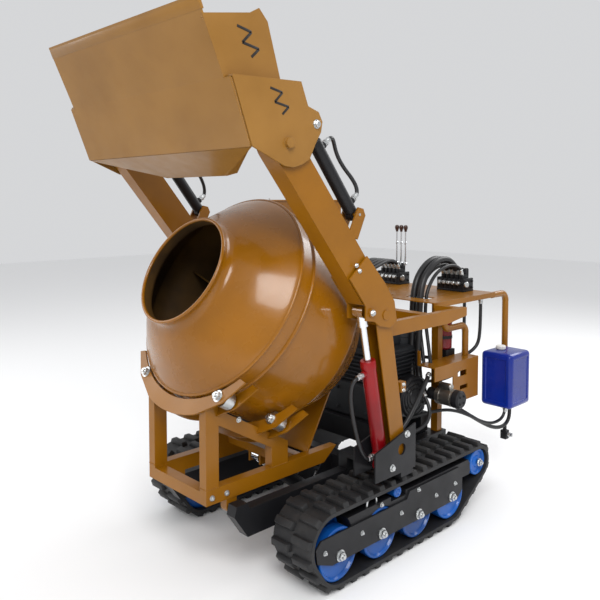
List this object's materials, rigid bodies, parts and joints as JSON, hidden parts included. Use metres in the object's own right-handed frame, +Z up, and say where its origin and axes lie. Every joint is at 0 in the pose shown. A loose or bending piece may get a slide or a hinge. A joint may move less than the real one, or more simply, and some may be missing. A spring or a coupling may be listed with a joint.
{
  "type": "crawler concrete mixer",
  "caption": "Tracked self-loading concrete mixer with a tipping drum on a cradle, a loading bucket on a two-arm boom, hydraulic cylinders, a control deck and a fuel tank.",
  "frame": {"origin": "on the ground, midway across the machine and midway along it, under the middle of its box", "axes": "+X to the machine's left, -Y to its front where the drum and bucket are, +Z up"},
  "size_m": [1.14, 2.2305, 2.13],
  "materials": {
    "yellow_paint": "gloss",
    "track_rubber": "matte",
    "black_paint": "satin",
    "blue_paint": "satin",
    "tank_blue": "gloss",
    "cylinder_red": "gloss",
    "chrome": "polished",
    "engine_iron": "satin",
    "muffler_steel": "brushed",
    "drum_inside": "matte",
    "roller_steel": "machined"
  },
  "bodies": {
    "chassis": {"track_left": "track_rubber", "track_right": "track_rubber", "track_frame_left": "black_paint", "track_frame_right": "black_paint", "track_rollers_left": "blue_paint", "track_rollers_right": "blue_paint", "chassis_frame": "black_paint", "mast_bracket_left": "black_paint", "mast_bracket_right": "black_paint", "mast_left": "yellow_paint", "mast_right": "yellow_paint", "deck_frame": "yellow_paint", "control_deck": "yellow_paint", "lower_panel": "yellow_paint", "guard_tubes": "yellow_paint", "engine": "engine_iron", "engine_mount": "black_paint", "belt_cover": "black_paint", "muffler": "muffler_steel", "fuel_tank": "tank_blue", "fire_extinguisher": "cylinder_red", "hydraulic_tank": "yellow_paint", "tank_stand": "black_paint", "valve_bank_left": "black_paint", "valve_bank_right": "black_paint", "control_levers": "chrome", "deck_hoses": "track_rubber"},
    "cradle": {"cradle_frame": "yellow_paint", "front_saddle": "yellow_paint", "rear_saddle": "yellow_paint", "drum_drive": "black_paint"},
    "drum": {"drum_shell": "yellow_paint", "drum_paddles": "drum_inside"},
    "boom": {"boom_arm_left": "yellow_paint", "boom_arm_right": "yellow_paint"},
    "bucket": {"bucket_shell": "yellow_paint", "bucket_ears": "yellow_paint"},
    "drum_roller_front_left": {"drum_roller_front_left": "roller_steel"},
    "drum_roller_front_right": {"drum_roller_front_right": "roller_steel"},
    "drum_roller_rear_left": {"drum_roller_rear_left": "roller_steel"},
    "drum_roller_rear_right": {"drum_roller_rear_right": "roller_steel"},
    "lift_barrel_left": {"lift_barrel_left": "cylinder_red"},
    "lift_barrel_right": {"lift_barrel_right": "cylinder_red"},
    "lift_rod_left": {"lift_rod_left": "chrome"},
    "lift_rod_right": {"lift_rod_right": "chrome"},
    "tilt_barrel_left": {"tilt_barrel_left": "black_paint"},
    "tilt_barrel_right": {"tilt_barrel_right": "black_paint"},
    "tilt_rod_left": {"tilt_rod_left": "chrome"},
    "tilt_rod_right": {"tilt_rod_right": "chrome"},
    "tip_barrel": {"tip_barrel": "black_paint"},
    "tip_rod": {"tip_rod": "chrome"}
  },
  "joints": [
    {"name": "boom_lift", "type": "hinge", "parent": "chassis", "child": "boom", "pos_m": [0, -0.23, 1.04], "axis": [-1, 0, 0], "range_deg": [-75, 0]},
    {"name": "bucket_tilt", "type": "hinge", "parent": "boom", "child": "bucket", "pos_m": [0, -0.76331, 1.69157], "axis": [-1, 0, 0], "range_deg": [-50, 0]},
    {"name": "drum_tip", "type": "hinge", "parent": "chassis", "child": "cradle", "pos_m": [0, -0.733, 0.3045], "axis": [1, 0, 0], "range_deg": [0, 55]},
    {"name": "drum_spin", "type": "hinge", "parent": "cradle", "child": "drum", "pos_m": [0, -0.827, 1.227], "axis": [0, -0.866, 0.5], "continuous": true},
    {"name": "drum_roller_front_left_spin", "type": "hinge", "parent": "cradle", "child": "drum_roller_front_left", "pos_m": [0.24959, -0.80241, 0.75158], "axis": [0, -0.866, 0.5], "continuous": true},
    {"name": "drum_roller_front_right_spin", "type": "hinge", "parent": "cradle", "child": "drum_roller_front_right", "pos_m": [-0.24959, -0.80241, 0.75158], "axis": [0, -0.866, 0.5], "continuous": true},
    {"name": "drum_roller_rear_left_spin", "type": "hinge", "parent": "cradle", "child": "drum_roller_rear_left", "pos_m": [0.24535, -0.53835, 0.60696], "axis": [0, -0.866, 0.5], "continuous": true},
    {"name": "drum_roller_rear_right_spin", "type": "hinge", "parent": "cradle", "child": "drum_roller_rear_right", "pos_m": [-0.24535, -0.53835, 0.60696], "axis": [0, -0.866, 0.5], "continuous": true},
    {"name": "lift_left_swing", "type": "hinge", "parent": "chassis", "child": "lift_barrel_left", "pos_m": [0.5, -0.189, 0.408], "axis": [-1, 0, 0], "range_deg": [0, 2.88]},
    {"name": "lift_left_extend", "type": "slide", "parent": "lift_barrel_left", "child": "lift_rod_left", "axis": [0, -0.1973, 0.9803], "range_m": [-0.1084, 0]},
    {"name": "lift_right_swing", "type": "hinge", "parent": "chassis", "child": "lift_barrel_right", "pos_m": [-0.5, -0.189, 0.408], "axis": [-1, 0, 0], "range_deg": [0, 2.88]},
    {"name": "lift_right_extend", "type": "slide", "parent": "lift_barrel_right", "child": "lift_rod_right", "axis": [0, -0.1973, 0.9803], "range_m": [-0.1084, 0]},
    {"name": "tilt_left_swing", "type": "hinge", "parent": "boom", "child": "tilt_barrel_left", "pos_m": [0.5, -0.377, 1.442], "axis": [-1, 0, 0], "range_deg": [-3.76, 0]},
    {"name": "tilt_left_extend", "type": "slide", "parent": "tilt_barrel_left", "child": "tilt_rod_left", "axis": [0, -0.6153, 0.7883], "range_m": [0, 0.1263]},
    {"name": "tilt_right_swing", "type": "hinge", "parent": "boom", "child": "tilt_barrel_right", "pos_m": [-0.5, -0.377, 1.442], "axis": [-1, 0, 0], "range_deg": [-3.76, 0]},
    {"name": "tilt_right_extend", "type": "slide", "parent": "tilt_barrel_right", "child": "tilt_rod_right", "axis": [0, -0.6153, 0.7883], "range_m": [0, 0.1263]},
    {"name": "tip_swing", "type": "hinge", "parent": "chassis", "child": "tip_barrel", "pos_m": [0, -0.13, 0.13], "axis": [-1, 0, 0], "range_deg": [0, 4.76]},
    {"name": "tip_extend", "type": "slide", "parent": "tip_barrel", "child": "tip_rod", "axis": [0, -0.7783, 0.6279], "range_m": [0, 0.2841]}
  ],
  "couplings": [
    {"joint": "lift_left_swing", "follows": "boom_lift", "ratio": -0.037756},
    {"joint": "lift_left_extend", "follows": "boom_lift", "m_per_rad": 0.082422},
    {"joint": "lift_right_swing", "follows": "boom_lift", "ratio": -0.037756},
    {"joint": "lift_right_extend", "follows": "boom_lift", "m_per_rad": 0.082422},
    {"joint": "tilt_left_swing", "follows": "bucket_tilt", "ratio": 0.074163},
    {"joint": "tilt_left_extend", "follows": "bucket_tilt", "m_per_rad": -0.14411},
    {"joint": "tilt_right_swing", "follows": "bucket_tilt", "ratio": 0.074163},
    {"joint": "tilt_right_extend", "follows": "bucket_tilt", "m_per_rad": -0.14411},
    {"joint": "tip_swing", "follows": "drum_tip", "ratio": 0.085643},
    {"joint": "tip_extend", "follows": "drum_tip", "m_per_rad": 0.29546}
  ]
}
